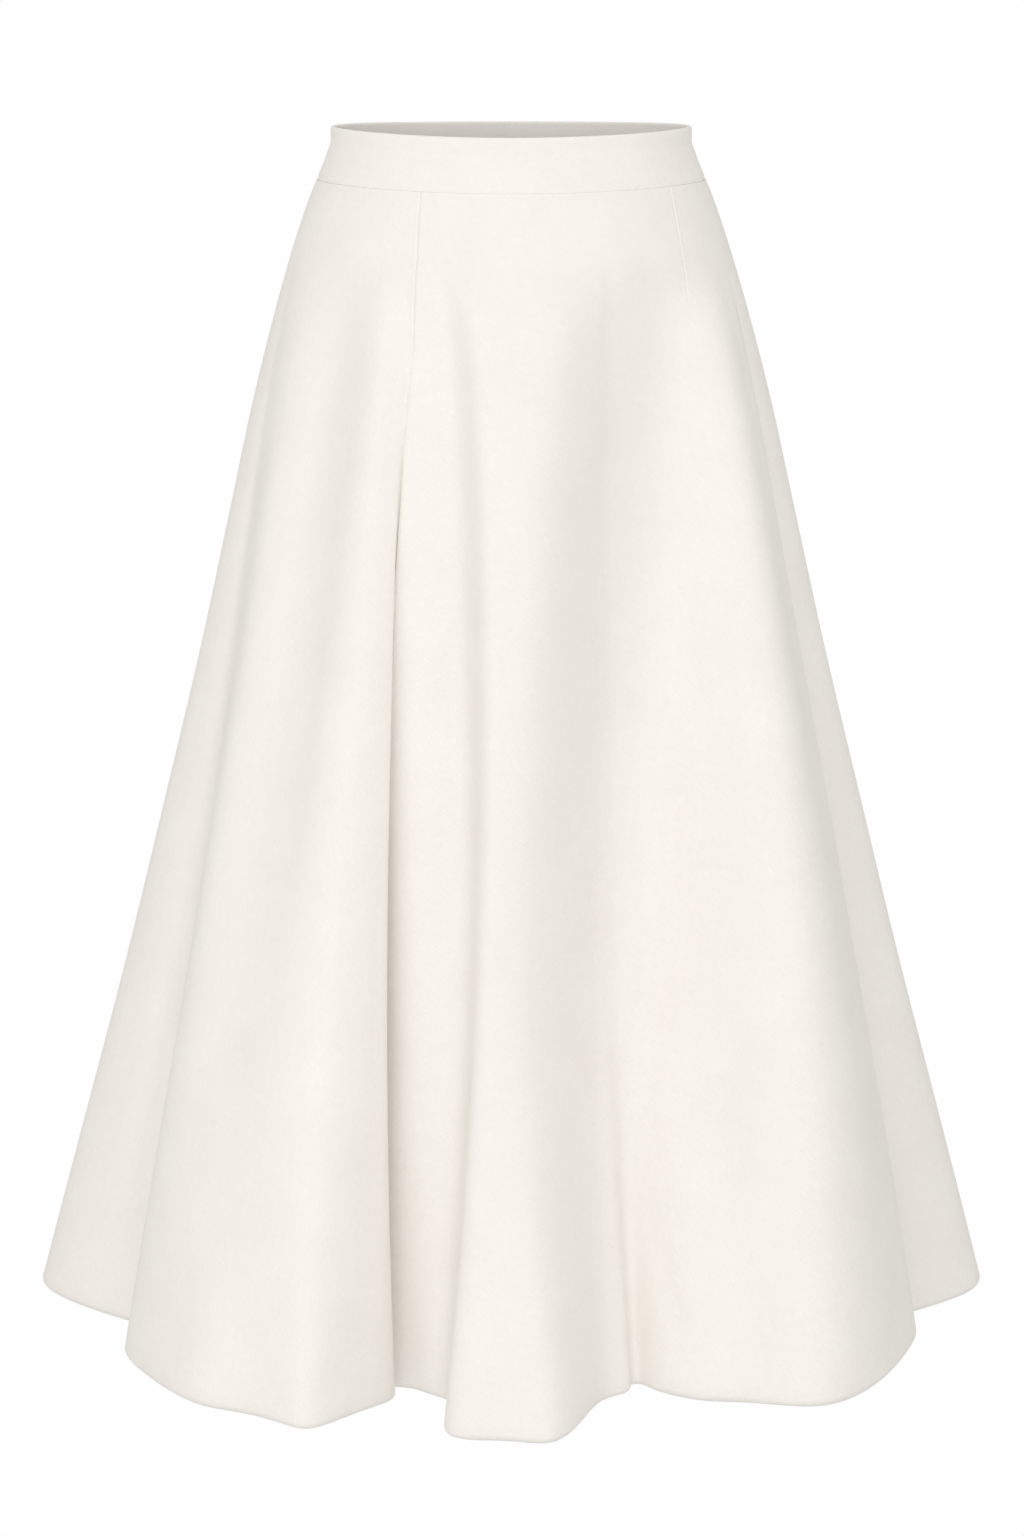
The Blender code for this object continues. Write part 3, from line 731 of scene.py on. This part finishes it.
def draw_back(grid):
    """Pull the two end columns of a panel back from its seams."""
    for end, neighbour in ((0, 1), (-1, -2)):
        grid[:, end] += unit(grid[:, neighbour] - grid[:, end]) * CLOSED_GAP
    return grid


def make_panel(name, first_seam, last_seam, sizes, material):
    """One panel with its folds, creases, seam grooves and turned-under hem."""
    first, last = place_of(first_seam), place_of(last_seam)
    if last <= first:
        last += len(FOLD_LINES)
    form = Form(panel_places(first, last))
    points = form.surface(sizes.hem_return)
    normals = grid_normals(points)
    sunk = crease_depths(form, points, points[: PANEL_ROWS + 1, :, 2])
    points[: PANEL_ROWS + 1] -= normals[: PANEL_ROWS + 1] * sunk[..., None]
    points[PANEL_ROWS + 1 :] -= (normals[PANEL_ROWS] * sunk[-1][:, None])[None]
    normals = grid_normals(points)[:, 1:-1]
    points = points[:, 1:-1]
    flat, size, area = cut_pattern(points)
    inner = points - normals * sizes.cloth
    sunk = seam_grooves(points, sizes) + dart_groove(form.places[1:-1], points)
    outer = points - normals * sunk[..., None]
    data = wall_mesh(name + "_cloth", draw_back(outer), draw_back(inner), flat)
    piece = add_piece(name + "_cloth", data, material)
    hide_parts(name)
    return piece


# ------------------------------------------------------------------ the waistband
BAND_PIECES = (
    ("waistband_front", 0, 180),
    ("waistband_back_right", 180, 270),
    ("waistband_back_left", 270, 360),
)


def band_profile(sizes):
    """The waistband's section as half widths and heights: outside up, over the fold, inside down."""
    top = BAND_SECTIONS[0]
    radius = sizes.band_cloth / 2
    heights = np.linspace(BAND_BOTTOM, BAND_TOP - radius, BAND_ROWS)
    outside = eased_table(BAND_SECTIONS, heights)
    inside = outside - sizes.band_cloth
    from_seam = (heights - BAND_BOTTOM) / (2.2 * sizes.groove_width)
    outside = outside - sizes.band_roll * np.exp(-(from_seam**2))
    from_bend = (heights - BAND_TOP + sizes.band_bend_drop) / (0.4 * sizes.band_bend_drop)
    outside = outside - sizes.band_bend * np.exp(-(from_bend**2))
    turns = np.linspace(0, pi, BAND_FOLD_STEPS)[1:-1]
    fold_out = top.half_width - radius * (1 - np.cos(turns))
    fold_up = BAND_TOP - radius * (1 - np.sin(turns))
    return (
        np.concatenate([outside, fold_out, inside[::-1]]),
        np.concatenate([heights, fold_up, heights[::-1]]),
    )


def bend_tree():
    """Geometry Nodes tree that bends a straight band round the waist.

    It reads a point's X as a bearing in radians, Y as a half width and Z as a height.
    """
    name = "Bend round the waist"
    if name in bpy.data.node_groups:
        return bpy.data.node_groups[name]
    inputs = (
        GEOMETRY,
        ("Front Depth", "Float", DEPTH_OF_WIDTH_FRONT),
        ("Back Depth", "Float", DEPTH_OF_WIDTH_BACK),
        ("Front Dip", "Float", BAND_DIP_FRONT),
        ("Back Dip", "Float", BAND_DIP_BACK),
        ("Front Sag", "Float", SEAM_SAG_FRONT),
        ("Back Sag", "Float", SEAM_SAG_BACK),
        ("Band Bottom", "Float", BAND_BOTTOM),
        ("Band Top", "Float", BAND_TOP),
        ("Cloth", "Material", None),
    )
    tree, enter, leave = new_group(name, "GeometryNodeTree", inputs, (GEOMETRY,))

    def calc(operation, *terms):
        """The result of one Math node of this tree."""
        return maths(tree, operation, *terms)

    def either(test, yes, no):
        """yes where the test is 1, no where it is 0."""
        return calc("ADD", calc("MULTIPLY", test, yes), calc("MULTIPLY", calc("SUBTRACT", 1.0, test), no))

    position = add_node(tree, "GeometryNodeInputPosition").outputs[0]
    bearing, half_width, height = add_node(tree, "ShaderNodeSeparateXYZ", {0: position}).outputs
    ahead = calc("SINE", bearing)
    front = calc("GREATER_THAN", ahead, 0.0)
    depth, dip, sag = (
        either(front, enter["Front " + kind], enter["Back " + kind]) for kind in ("Depth", "Dip", "Sag")
    )
    reach = calc("SUBTRACT", enter["Band Top"], enter["Band Bottom"])
    share = calc("DIVIDE", calc("SUBTRACT", height, enter["Band Bottom"]), reach)
    sunk = calc("MULTIPLY", calc("MULTIPLY", ahead, ahead), either(share, dip, sag))
    across = calc("MULTIPLY", half_width, calc("MULTIPLY", calc("COSINE", bearing), -1.0))
    along = calc("MULTIPLY", half_width, calc("MULTIPLY", calc("MULTIPLY", ahead, depth), -1.0))
    bent = add_node(tree, "ShaderNodeCombineXYZ", {0: across, 1: along, 2: calc("SUBTRACT", height, sunk)})
    places = {"Geometry": enter["Geometry"], "Position": bent.outputs[0]}
    move = add_node(tree, "GeometryNodeSetPosition", places)
    finish_tree(tree, move.outputs["Geometry"], enter["Cloth"], leave)
    return tree


def finish_tree(tree, geometry, material, leave):
    """End a tree with realised instances and its material."""
    real = add_node(tree, "GeometryNodeRealizeInstances", {"Geometry": geometry}).outputs["Geometry"]
    coloured = add_node(tree, "GeometryNodeSetMaterial", {"Geometry": real, "Material": material})
    tree.links.new(coloured.outputs["Geometry"], leave["Geometry"])


def grown_mesh(data, tree, **inputs):
    """A plain mesh: what a Geometry Nodes tree makes of a mesh or curve, with these named inputs."""
    carrier = linked("carrier", data)
    modifier = carrier.modifiers.new("shape", "NODES")
    modifier.node_group = tree
    sockets = {item.name: item.identifier for item in tree.interface.items_tree if item.in_out == "INPUT"}
    for socket, value in inputs.items():
        modifier[sockets[socket.replace("_", " ").title()]] = value
    bpy.context.view_layer.update()
    graph = bpy.context.evaluated_depsgraph_get()
    grown = bpy.data.meshes.new_from_object(carrier.evaluated_get(graph), depsgraph=graph)
    bpy.data.objects.remove(carrier, do_unlink=True)
    return grown


def make_band_piece(name, start, end, sizes, material):
    """One stretch of the waistband, built straight and bent round the waist."""
    half_widths, heights = band_profile(sizes)
    columns = max(8, round(sizes.band_columns * (end - start) / 180))
    gap, edge = (size / BAND_SECTIONS[0].half_width for size in (CLOSED_GAP / 2, BAND_EDGE))
    low, high = radians(start) + gap, radians(end) - gap
    bearings = np.concatenate([[low], np.linspace(low + edge, high - edge, columns - 1), [high]])
    count = len(heights)
    points = np.empty((columns + 1, count, 3))
    points[..., 0] = bearings[:, None]
    points[..., 1] = half_widths
    points[..., 2] = heights
    middle = (half_widths + half_widths[::-1]) / 2
    points[[0, -1], :, 1] = middle + (half_widths - middle) * sizes.seam_pinch
    corner = np.arange(columns)[:, None] * count + np.arange(count)[None, :]
    beside = np.arange(columns)[:, None] * count + (np.arange(count)[None, :] + 1) % count
    sides = np.stack([corner, beside, beside + count, corner + count], axis=-1).reshape(-1, 4)
    caps = [list(range(count))[::-1], [columns * count + index for index in range(count)]]
    data = bpy.data.meshes.new(name + "_straight")
    data.from_pydata(points.reshape(-1, 3).tolist(), [], sides.tolist() + caps)
    profile = np.stack([half_widths, heights], axis=-1)
    down = lengths_along(profile, 0)
    along = bearings[:, None] * BAND_PATTERN_RADIUS
    spread = np.stack(np.broadcast_arrays(along, down[None, :]), axis=-1).reshape(-1, 2)
    map_pattern(data, spread)
    bent = grown_mesh(data, bend_tree(), cloth=material)
    bent.name = name + "_cloth"
    bent.shade_smooth()
    bent.set_sharp_from_angle(angle=SHARP_ANGLE)
    piece = add_piece(name + "_cloth", bent, material)
    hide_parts(name)
    return piece


# ------------------------------------------------------------------ inside: allowances and sewing
SEAMS = (
    ("front_seam", FRONT_SEAM),
    ("right_side_seam", RIGHT_SEAM),
    ("back_seam", BACK_SEAM),
    ("left_side_seam", LEFT_SEAM),
)


def inside_of_seam(seam, offsets, sizes):
    """Points and normals of the cloth's inner side at these distances to the sides of a seam."""
    middle = place_of(seam)
    form = Form(middle + np.arange(-SEAM_STEPS, SEAM_STEPS + 1) * 0.1)
    points = form.surface(sizes.hem_return)[: PANEL_ROWS + 1]
    normals = grid_normals(points)
    inner = points - normals * sizes.cloth
    run = lengths_along(inner, 1)
    run = run - run[:, SEAM_STEPS : SEAM_STEPS + 1]
    found = np.empty((len(points), len(offsets), 3))
    facing = np.empty_like(found)
    for row in range(len(points)):
        for axis in range(3):
            found[row, :, axis] = np.interp(offsets, run[row], inner[row, :, axis])
            facing[row, :, axis] = np.interp(offsets, run[row], normals[row, :, axis])
    return found, unit(facing)


def make_allowance(name, seam, sizes, material):
    """A seam's two allowances, pressed open flat on the inside of the cloth."""
    half = sizes.allowance
    offsets = np.array([-1, -0.85, -0.6, -0.35, -0.12, -0.04, 0, 0.04, 0.12, 0.35, 0.6, 0.85, 1]) * half
    points, normals = inside_of_seam(seam, offsets, sizes)
    points, normals = points[1:-4], normals[1:-4]
    thick = np.where(np.abs(offsets) < half * 0.08, 0.35, 1.0) * sizes.allowance_cloth
    thick = np.where(np.abs(offsets) > half * 0.95, thick * 0.7, thick)
    outer = points - normals * SEAM_GAP
    inner = outer - normals * thick[None, :, None]
    down = lengths_along(outer, 0)
    flat = np.stack([np.broadcast_to(offsets, down.shape), down], axis=-1)
    piece = add_piece(name + "_allowance", wall_mesh(name + "_allowance", outer, inner, flat), material)
    return piece


def thread_tree():
    """Geometry Nodes tree that lays a thread along the edges of a path."""
    name = "Thread along a path"
    if name in bpy.data.node_groups:
        return bpy.data.node_groups[name]
    inputs = (
        GEOMETRY,
        ("Thread Radius", "Float", 0.0002),
        ("Thread Sides", "Int", 5),
        ("Thread", "Material", None),
    )
    tree, enter, leave = new_group(name, "GeometryNodeTree", inputs, (GEOMETRY,))
    path = add_node(tree, "GeometryNodeMeshToCurve", {0: enter["Geometry"]}).outputs[0]
    section = {"Resolution": enter["Thread Sides"], "Radius": enter["Thread Radius"]}
    round_bar = add_node(tree, "GeometryNodeCurvePrimitiveCircle", section).outputs[0]
    swept = {"Curve": path, "Profile Curve": round_bar, "Fill Caps": True}
    bar = add_node(tree, "GeometryNodeCurveToMesh", swept).outputs[0]
    finish_tree(tree, bar, enter["Thread"], leave)
    return tree


def stitches_tree():
    """Geometry Nodes tree that sets plump stitches along a path at an even pitch."""
    name = "Row of stitches"
    if name in bpy.data.node_groups:
        return bpy.data.node_groups[name]
    inputs = (
        GEOMETRY,
        ("Pitch", "Float", 0.0028),
        ("Stitch Length", "Float", 0.0023),
        ("Thread Radius", "Float", 0.0002),
        ("Thread", "Material", None),
    )
    tree, enter, leave = new_group(name, "GeometryNodeTree", inputs, (GEOMETRY,))
    path = add_node(tree, "GeometryNodeMeshToCurve", {0: enter["Geometry"]}).outputs[0]
    steps = {"Curve": path, "Length": enter["Pitch"]}
    spots = add_node(tree, "GeometryNodeCurveToPoints", steps, mode="LENGTH").outputs
    bead = add_node(tree, "GeometryNodeMeshUVSphere", {"Segments": 6, "Rings": 5, "Radius": 1.0})
    radius, half = enter["Thread Radius"], maths(tree, "MULTIPLY", enter["Stitch Length"], 0.5)
    size = add_node(tree, "ShaderNodeCombineXYZ", {"X": radius, "Y": radius, "Z": half})
    turn = add_node(tree, "FunctionNodeAlignRotationToVector", {"Vector": spots["Tangent"]}, axis="Z")
    stitch = {
        "Points": spots["Points"],
        "Instance": bead.outputs["Mesh"],
        "Rotation": turn.outputs[0],
        "Scale": size.outputs[0],
    }
    place = add_node(tree, "GeometryNodeInstanceOnPoints", stitch)
    finish_tree(tree, place.outputs[0], enter["Thread"], leave)
    return tree


def path_mesh(name, runs):
    """A mesh of loose edges through each run of points."""
    data = bpy.data.meshes.new(name)
    points = [tuple(float(part) for part in point) for run in runs for point in run]
    edges, start = [], 0
    for run in runs:
        edges += [(start + index, start + index + 1) for index in range(len(run) - 1)]
        start += len(run)
    data.from_pydata(points, edges, [])
    return data


def sewn(name, runs, tree, material, **inputs):
    """A named piece of sewing along runs of points."""
    data = grown_mesh(path_mesh(name + "_path", runs), tree, thread=material, **inputs)
    data.name = name
    data.shade_smooth()
    return add_piece(name, data, material)


def zigzag(edge_a, edge_b, pitch):
    """Points that swing between two lines that run side by side."""
    run = np.concatenate([[0], np.cumsum(np.linalg.norm(np.diff(edge_a, axis=0), axis=1))])
    swings = max(4, int(run[-1] / pitch))
    at = np.linspace(0, run[-1], swings)
    line_a, line_b = (
        np.stack([np.interp(at, run, part) for part in edge.T], axis=-1) for edge in (edge_a, edge_b)
    )
    swing = (np.arange(swings) % 2)[:, None]
    return line_a * (1 - swing) + line_b * swing


def make_overcasting(sizes, material):
    """The overcast edges of all the seams' allowances."""
    past, within = sizes.allowance + OVERCAST_REACH, sizes.allowance - OVERCAST_WIDTH
    offsets = np.array([-past, -within, within, past])
    runs = []
    for _, seam in SEAMS:
        points, normals = inside_of_seam(seam, offsets, sizes)
        lifted = points - normals * (SEAM_GAP + sizes.allowance_cloth + sizes.thread_radius)
        lifted = lifted[2:-5]
        for edge, beside in ((0, 1), (3, 2)):
            runs.append(zigzag(lifted[:, edge], lifted[:, beside], OVERCAST_PITCH))
    return sewn("seam_overcasting", runs, thread_tree(), material, thread_radius=sizes.thread_radius)


def make_hem_catch(sizes, material):
    """The catch stitch that holds the hem's turned-under edge to the cloth."""
    places = np.arange(0, len(FOLD_LINES), 0.1)
    form = Form(np.concatenate([[-0.1], places, [len(FOLD_LINES)]]))
    points = form.surface(sizes.hem_return)
    normals = grid_normals(points)
    edge = (points[-1] + normals[-1] * sizes.thread_radius)[1:-1]
    low = (points[-2] + normals[-2] * sizes.thread_radius * 1.5)[1:-1]
    above = edge + np.array([0, 0, HEM_CATCH_RISE])
    low = edge + (low - edge) * 0.35
    closed = [np.concatenate([line, line[:1]]) for line in (above, low)]
    run = zigzag(*closed, HEM_CATCH_PITCH)
    return sewn("hem_catch_stitch", [run], thread_tree(), material, thread_radius=sizes.thread_radius)


def make_waist_stitches(sizes, material):
    """The seam's own stitches, deep in the groove between waistband and panels."""
    half_width = BAND_SECTIONS[-1].half_width - sizes.groove_depth - 0.4 * MM
    bearings = np.linspace(0, 2 * pi, 400)
    across, forward = oval(bearings, half_width)
    run = np.stack([across, -forward, BAND_BOTTOM - SEAM_GAP / 2 - seam_sag(bearings)], axis=-1)
    return sewn(
        "waist_seam_stitches",
        [run],
        stitches_tree(),
        material,
        pitch=2.8 * MM,
        stitch_length=2.2 * MM,
        thread_radius=sizes.thread_radius,
    )


# ------------------------------------------------------------------ the studio
CAMERA_PLACE = (0.0, -2.6, 0.14)
CAMERA_PITCH = 12.11            # degrees below level
CAMERA_LENS = 90.5
CAMERA_SHIFT_X = 0.0005
FLOOR_DROP = 0.42               # the floor, below the hem
FLOOR_FRONT, FLOOR_BACK, FLOOR_SIDE = -5.0, 4.2, 6.0
SWEEP_RADIUS = 1.6              # where the floor turns up into the backdrop
SWEEP_STEPS = 12
BACKDROP_HEIGHT = 6.0
LEFT_LIGHT_SHARE = 1.2          # the left light's power, against the right one's
ROOM_COLOUR = (1.0, 0.978, 0.956, 1.0)


def make_stage(stage):
    """Pale floor that sweeps up behind the skirt, soft lights and the camera."""
    floor = HEM_HEIGHT - FLOOR_DROP
    outline = [(FLOOR_FRONT, floor)]
    for step in range(SWEEP_STEPS + 1):
        turn = pi / 2 * step / SWEEP_STEPS
        behind = FLOOR_BACK - SWEEP_RADIUS + SWEEP_RADIUS * sin(turn)
        outline.append((behind, floor + SWEEP_RADIUS * (1 - cos(turn))))
    outline.append((FLOOR_BACK, floor + BACKDROP_HEIGHT))
    points = [(x, y, z) for y, z in outline for x in (-FLOOR_SIDE, FLOOR_SIDE)]
    faces = [(2 * i, 2 * i + 1, 2 * i + 3, 2 * i + 2) for i in range(len(outline) - 1)]
    data = bpy.data.meshes.new("studio_floor")
    data.from_pydata(points, [], faces)
    data.shade_smooth()
    floor_settings = {"Base Color": (*stage.floor, 1.0), "Roughness": 0.9}
    material, tree, shader = new_material("pale_floor", floor_settings)
    glow = add_node(tree, "ShaderNodeEmission", {"Color": (1, 1, 1, 1), "Strength": stage.floor_glow})
    seen = add_node(tree, "ShaderNodeLightPath").outputs["Is Camera Ray"]
    mixed = add_node(tree, "ShaderNodeMixShader", {0: seen, 1: shader.outputs[0], 2: glow.outputs[0]})
    tree.links.new(mixed.outputs[0], tree.nodes["Material Output"].inputs["Surface"])
    data.materials.append(material)
    linked("studio_floor", data)

    middle = Vector((0, 0, HEM_HEIGHT / 2))
    for name, place, width, height, power, colour in (
        ("key_light", (-0.5, -3.4, 0.4), 2.6, 2.0, stage.key_power, (1.0, 0.995, 0.985)),
        ("left_light", (-2.4, -2.6, 0.1), 1.8, 2.2, stage.side_power * LEFT_LIGHT_SHARE, (1.0, 0.99, 0.98)),
        ("right_light", (2.3, -2.7, 0.1), 1.8, 2.2, stage.side_power, (1.0, 0.99, 0.98)),
        ("top_light", (0.0, -2.2, 1.9), 2.4, 1.2, stage.top_power, (1.0, 0.99, 0.98)),
    ):
        light = bpy.data.lights.new(name, "AREA")
        light.shape = "RECTANGLE"
        light.size, light.size_y = width, height
        light.energy = power
        light.color = colour
        lamp = linked(name, light)
        lamp.location = place
        lamp.rotation_euler = (middle - Vector(place)).to_track_quat("-Z", "Y").to_euler()

    world = bpy.data.worlds.new("soft_room")
    world.use_nodes = True
    sky = world.node_tree.nodes["Background"].inputs
    sky["Color"].default_value = ROOM_COLOUR
    sky["Strength"].default_value = stage.room_light
    bpy.context.scene.world = world
    bpy.context.scene.view_settings.view_transform = "Standard"

    lens = bpy.data.cameras.new("camera")
    lens.sensor_fit = "AUTO"
    lens.sensor_width = 36.0
    lens.lens = CAMERA_LENS
    lens.shift_x = CAMERA_SHIFT_X
    camera = linked("camera", lens)
    camera.location = CAMERA_PLACE
    camera.rotation_euler = (radians(90 - CAMERA_PITCH), 0, 0)
    bpy.context.scene.camera = camera


# ------------------------------------------------------------------ what a user would change
def length_in_mm(name, description, size):
    """A length, given in mm."""
    return FloatProperty(name=name, description=description, default=size * MM, unit="LENGTH")


def power_in_watts(name, description, watts):
    """A light's power."""
    return FloatProperty(name=name, description=description, default=watts, unit="POWER")


def tint(name, description, value):
    """A colour."""
    return FloatVectorProperty(name=name, description=description, default=value, subtype="COLOR")


class SkirtSizes(bpy.types.PropertyGroup):
    """Sizes of the cloth and its sewing."""

    cloth: length_in_mm("Cloth", "Thickness of the crepe", 2.0)
    band_cloth: length_in_mm("Waistband", "Thickness of the two-layer waistband", 3.2)
    band_columns: IntProperty(
        name="Waistband Columns", description="Columns in half of the waistband", default=96
    )
    hem_return: length_in_mm("Hem Return", "How far the cloth goes back up inside the hem", 34)
    groove_depth: length_in_mm("Seam Depth", "How far a seam sinks into the cloth", 0.4)
    groove_width: length_in_mm("Seam Softness", "How wide the cloth bends into a seam", 0.8)
    seam_rim: length_in_mm("Seam Rim", "How far the cloth stands up beside a seam", 0.15)
    seam_pinch: FloatProperty(
        name="Seam Pinch", description="Share of the thickness left at the waistband's seams", default=0.8
    )
    band_roll: length_in_mm("Band Roll", "How far the waistband's lower edge turns in", 0.6)
    band_bend: length_in_mm("Band Bend", "Depth of the soft bend along the waistband", 0.9)
    band_bend_drop: length_in_mm("Bend Height", "How far the bend lies below the top edge", 11)
    allowance: length_in_mm("Allowance", "Width of one side of a pressed seam", 11)
    allowance_cloth: length_in_mm("Allowance Thickness", "Thickness of a pressed allowance", 0.9)
    thread_radius: length_in_mm("Thread Radius", "Half the thickness of the thread", 0.18)


class SkirtColours(bpy.types.PropertyGroup):
    """Colours of the cloth and its thread."""

    cloth: tint("Crepe", "Colour of the raised nap", (0.905, 0.885, 0.85))
    cloth_hollow: tint("Crepe Hollows", "Colour between the fibres", (0.86, 0.835, 0.795))
    thread: tint("Thread", "Colour of the sewing thread", (0.90, 0.88, 0.84))


class SkirtStage(bpy.types.PropertyGroup):
    """Floor and lights."""

    floor: tint("Floor", "Colour of the floor", (0.8, 0.8, 0.8))
    floor_glow: FloatProperty(
        name="Floor Brightness", description="How bright the floor looks", default=0.99
    )
    key_power: power_in_watts("Key", "Main light from the front left", 24.5)
    side_power: power_in_watts("Sides", "Soft lights from both sides", 7.0)
    top_power: power_in_watts("Top", "Soft light from above", 6.5)
    room_light: FloatProperty(name="Room", description="Even light from all round", default=0.74)


# ------------------------------------------------------------------ operators
class Step:
    """What the operators share: each makes its pieces from the scene's values."""

    def execute(self, context):
        """Run the step on the open scene."""
        self.make(context.scene)
        return {"FINISHED"}


class SKIRT_OT_panels(Step, bpy.types.Operator):
    """Make the four panels of the skirt, with their folds and rolled hem"""

    bl_idname = "skirt.panels"
    bl_label = "Panels"

    def make(self, scene):
        crepe = crepe_material("ivory_crepe_cloth", scene.skirt_colours, 0.12 * MM, 1.2 * MM)
        for name, first, last in PANELS:
            make_panel(name, first, last, scene.skirt_sizes, crepe)


class SKIRT_OT_waistband(Step, bpy.types.Operator):
    """Make the shaped waistband in its three pieces"""

    bl_idname = "skirt.waistband"
    bl_label = "Waistband"

    def make(self, scene):
        crepe = crepe_material("ivory_crepe_band", scene.skirt_colours, 0.10 * MM, 1.1 * MM)
        for name, start, end in BAND_PIECES:
            make_band_piece(name, start, end, scene.skirt_sizes, crepe)


class SKIRT_OT_allowances(Step, bpy.types.Operator):
    """Press the seams' allowances open on the inside"""

    bl_idname = "skirt.allowances"
    bl_label = "Seam Allowances"

    def make(self, scene):
        crepe = crepe_material("ivory_crepe_cloth", scene.skirt_colours, 0.12 * MM, 1.2 * MM)
        for name, seam in SEAMS:
            make_allowance(name, seam, scene.skirt_sizes, crepe)


class SKIRT_OT_sewing(Step, bpy.types.Operator):
    """Sew the waist seam, the hem and the edges of the allowances"""

    bl_idname = "skirt.sewing"
    bl_label = "Sewing"

    def make(self, scene):
        thread = thread_material(scene.skirt_colours)
        make_waist_stitches(scene.skirt_sizes, thread)
        make_hem_catch(scene.skirt_sizes, thread)
        make_overcasting(scene.skirt_sizes, thread)


class SKIRT_OT_stage(Step, bpy.types.Operator):
    """Set up the pale floor, the soft lights and the camera"""

    bl_idname = "skirt.stage"
    bl_label = "Studio"

    def make(self, scene):
        make_stage(scene.skirt_stage)


class SKIRT_PT_sidebar(bpy.types.Panel):
    """Sizes, colours and steps of the skirt"""

    bl_idname = "SKIRT_PT_sidebar"
    bl_label = "Balloon Skirt"
    bl_space_type = "VIEW_3D"
    bl_region_type = "UI"
    bl_category = "Skirt"

    def draw(self, context):
        scene = context.scene
        for group in (scene.skirt_sizes, scene.skirt_colours, scene.skirt_stage):
            box = self.layout.box()
            for name in group.__annotations__:
                box.prop(group, name)
        for step in STEPS:
            self.layout.operator(step.bl_idname)


STEPS = (SKIRT_OT_panels, SKIRT_OT_waistband, SKIRT_OT_allowances, SKIRT_OT_sewing, SKIRT_OT_stage)
GROUPS = (("skirt_sizes", SkirtSizes), ("skirt_colours", SkirtColours), ("skirt_stage", SkirtStage))
CLASSES = (*(group for _, group in GROUPS), *STEPS, SKIRT_PT_sidebar)


def register():
    """Register the classes and hang the property groups on the scene."""
    for each in CLASSES:
        bpy.utils.register_class(each)
    for name, group in GROUPS:
        setattr(bpy.types.Scene, name, PointerProperty(type=group))


def unregister():
    """Take the property groups and the classes away again."""
    for name, _ in GROUPS:
        delattr(bpy.types.Scene, name)
    for each in reversed(CLASSES):
        bpy.utils.unregister_class(each)


def main():
    """Make every piece in order."""
    register()
    bpy.ops.skirt.stage()
    bpy.ops.skirt.panels()
    bpy.ops.skirt.waistband()
    bpy.ops.skirt.allowances()
    bpy.ops.skirt.sewing()


if __name__ == "__main__":
    main()
